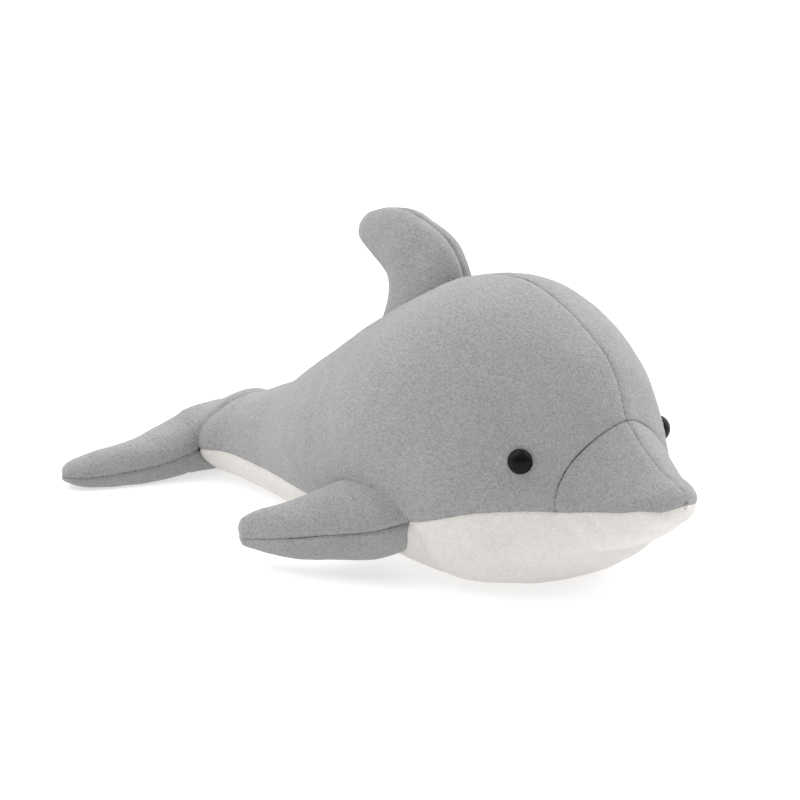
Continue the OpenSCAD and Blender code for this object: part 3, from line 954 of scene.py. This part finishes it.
def fluke_relief(points, core, push):
    """Swelling, lumps of filling and the grooves of the fluke's front and rear seams."""
    normals = grid_normals(points, core)
    first, last, left, right = edge_distances(points)
    points = swollen(points, push, first, last, left)
    height = lumps(points, 61, (0.35, 26, 60), (0.12, 10, 20))
    along = lengths(points, 0)
    inside = hill(points[:, :1, 1], COLLAR, 8)
    front = seam_groove(left, along, SIDE_GROOVE, 63) * (1 - 0.6 * inside)
    height = height + front + seam_groove(right, along, SIDE_GROOVE, 64)
    lifted = points + normals * height[..., None]
    lifted[..., 2] = np.maximum(lifted[..., 2], FLUKE_LOWEST)
    return lifted, grid_normals(lifted, core)


def tail_fluke():
    """The tail fluke's top and bottom panels and their stitches."""
    core = np.array([-168 + FORWARD, 0, 18])
    made = []
    pushes = (None, None)
    pushes = fin_swelling(fluke_grid(1, 46, 12), fluke_grid(-1, 46, 12), (True, True))
    for lift, word, push in ((1, "top", pushes[0]), (-1, "bottom", pushes[1])):
        points = seat_collar(fluke_grid(lift, 150, 48), lift)
        made.append((f"fluke_{word}", *fluke_relief(points, core, push)))
    for (name, points, normals), word in zip(made, ("top", "bottom")):
        obj = fleece_panel(name, points, normals, GREY)
        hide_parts(f"fluke_{word}_panel")
        if word == "bottom":
            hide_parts("fluke_stuffing")
        hinge_blend(obj)
    obj = stitching("fluke_stitches", fluke_seams(made), THREAD_PAINTED_HOLE_SHADE, 65)
    hinge_blend(obj)


def fluke_seams(made):
    """Seam lines of the fluke: both leading edges and the trailing edge."""
    (_, top, top_n), (_, bottom, bottom_n) = made
    front = (top[:, 0] + bottom[:, 0]) / 2
    front_n = unit(top_n[:, 0] + bottom_n[:, 0])
    rear = (top[:, -1] + bottom[:, -1]) / 2
    rear_n = unit(top_n[:, -1] + bottom_n[:, -1])
    y = top[:, 0, 1]
    seams = [(front[side], front_n[side]) for side in (y < -COLLAR, y > COLLAR)]
    seams.append((rear[2:-2], rear_n[2:-2]))
    return seams


def body_stitches():
    """Stitches over the back, over the beak and along the beak arch."""
    seams = []
    upright = np.array([1, 0, 1])
    _, back, back_n = BODY["back_panel_left"]
    seams.append((back[:, -1], unit(back_n[:, -1] * upright)))
    _, beak, beak_n = BODY["beak_cover_left"]
    seams.append((beak[:-3, -1], unit(beak_n[:-3, -1] * upright)))
    for word in ("left", "right"):
        _, points, normals = BODY[f"back_panel_{word}"]
        seams.append((points[-1], normals[-2]))
    obj = stitching("back_and_beak_stitches", seams, THREAD_PAINTED_HOLE_SHADE, 71)
    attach(obj, "body")


flippers()
dorsal_fin()
tail_fluke()
body_stitches()
for name, (obj, _, _) in BODY.items():
    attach(obj, "body")


# ---------------------------------------------------------------- eyes
def finish_eyes():
    """The CAD eyes and washers keep their shape and get their plastic."""
    for word in ("left", "right"):
        for node, material in ((f"eye_{word}", BLACK), (f"eye_washer_{word}", CLEAR)):
            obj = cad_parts[node]
            obj.data.materials.clear()
            obj.data.materials.append(material)
            for slot in obj.material_slots:
                slot.material = material


finish_eyes()


# ---------------------------------------------------------------- studio
AZIMUTH, ELEVATION = 48, 15.5
DISTANCE = 1.4
TARGET = Vector((0.064 + FORWARD * MM, 0, 0.0434))
LENS, SENSOR = 125.4, 36
# Where the target stands in the picture, right of and below its middle, as shares of its width
TARGET_RIGHT, TARGET_BELOW = 0.1125, 0.0875
FLOOR_HALF = 60000


def camera():
    """The photo's view: the target stands right of and below the middle of the picture."""
    a, e = math.radians(AZIMUTH), math.radians(ELEVATION)
    back = Vector((math.sin(a) * math.cos(e), -math.cos(a) * math.cos(e), math.sin(e)))
    data = bpy.data.cameras.new("camera")
    data.lens, data.sensor_width = LENS, SENSOR
    data.clip_start, data.clip_end = 0.05, 50
    obj = bpy.data.objects.new("camera", data)
    obj.location = TARGET + back * DISTANCE
    obj.rotation_mode = "QUATERNION"
    off_axis = Vector((-TARGET_RIGHT * SENSOR, TARGET_BELOW * SENSOR, -LENS))
    turn = Vector((0, 0, -1)).rotation_difference(off_axis)
    obj.rotation_quaternion = (-back).to_track_quat("-Z", "Y") @ turn
    bpy.context.scene.collection.objects.link(obj)
    bpy.context.scene.camera = obj


def sun(name, direction, strength, spread):
    """A very soft, far light that shines from a direction."""
    data = bpy.data.lights.new(name, "SUN")
    data.energy, data.angle = strength, math.radians(spread)
    obj = bpy.data.objects.new(name, data)
    obj.location = Vector(direction)
    obj.rotation_mode = "QUATERNION"
    obj.rotation_quaternion = (-Vector(direction)).to_track_quat("-Z", "Y")
    bpy.context.scene.collection.objects.link(obj)


def pale_floor():
    """A wide pale floor that is lit a little by itself."""
    material, tree, shader = principled("pale_floor", (0.55, 0.55, 0.55), 0.9, Specular_IOR_Level=0.1)
    shader.inputs["Emission Color"].default_value = (1, 1, 1, 1)
    shader.inputs["Emission Strength"].default_value = 0.58
    where = tree.nodes.new("ShaderNodeTexCoord").outputs["Object"]
    tone = ramp(tree, noise_node(tree, where, 3, 2), [(0.3, (0.54,) * 3), (0.7, (0.56,) * 3)])
    tree.links.new(tone, shader.inputs["Base Color"])
    corners = [(FLOOR_HALF * x, FLOOR_HALF * y, 0) for x, y in ((-1, -1), (1, -1), (1, 1), (-1, 1))]
    floor = new_object("floor", corners, [(0, 1, 2, 3)], material)


def sky():
    """A sky that is pale overhead and at the horizon."""
    world = bpy.data.worlds.new("studio")
    world.use_nodes = True
    tree = world.node_tree
    axes = tree.nodes.new("ShaderNodeSeparateXYZ")
    tree.links.new(tree.nodes.new("ShaderNodeTexCoord").outputs["Generated"], axes.inputs[0])
    height = add_node(tree, "ShaderNodeMath", operation="MULTIPLY", use_clamp=True)
    strength = add_node(tree, "ShaderNodeMath", operation="MULTIPLY_ADD")
    strength.inputs[1].default_value = 1.1  # times the square of the height in the sky
    strength.inputs[2].default_value = 0.12
    for socket in (0, 1):
        tree.links.new(axes.outputs["Z"], height.inputs[socket])
    tree.links.new(height.outputs[0], strength.inputs[0])
    fading = {"From Min": 0.09, "From Max": 0.2, "To Min": 0.9, "To Max": 0.0}
    haze = add_node(tree, "ShaderNodeMapRange", **fading)
    tree.links.new(axes.outputs["Z"], haze.inputs["Value"])
    total = add_node(tree, "ShaderNodeMath", operation="ADD")
    tree.links.new(strength.outputs[0], total.inputs[0])
    tree.links.new(haze.outputs["Result"], total.inputs[1])
    background = tree.nodes["Background"]
    background.inputs["Color"].default_value = (1, 1, 1, 1)
    tree.links.new(total.outputs[0], background.inputs["Strength"])
    bpy.context.scene.world = world


def studio():
    """The floor, the sky and two large soft lights."""
    pale_floor()
    sky()
    sun("left_light", (-0.85, -0.35, 0.9), 2.1, 75)
    sun("right_light", (0.3, 0.95, 0.85), 2.45, 75)
    bpy.context.scene.view_settings.view_transform = "Standard"


camera()
studio()
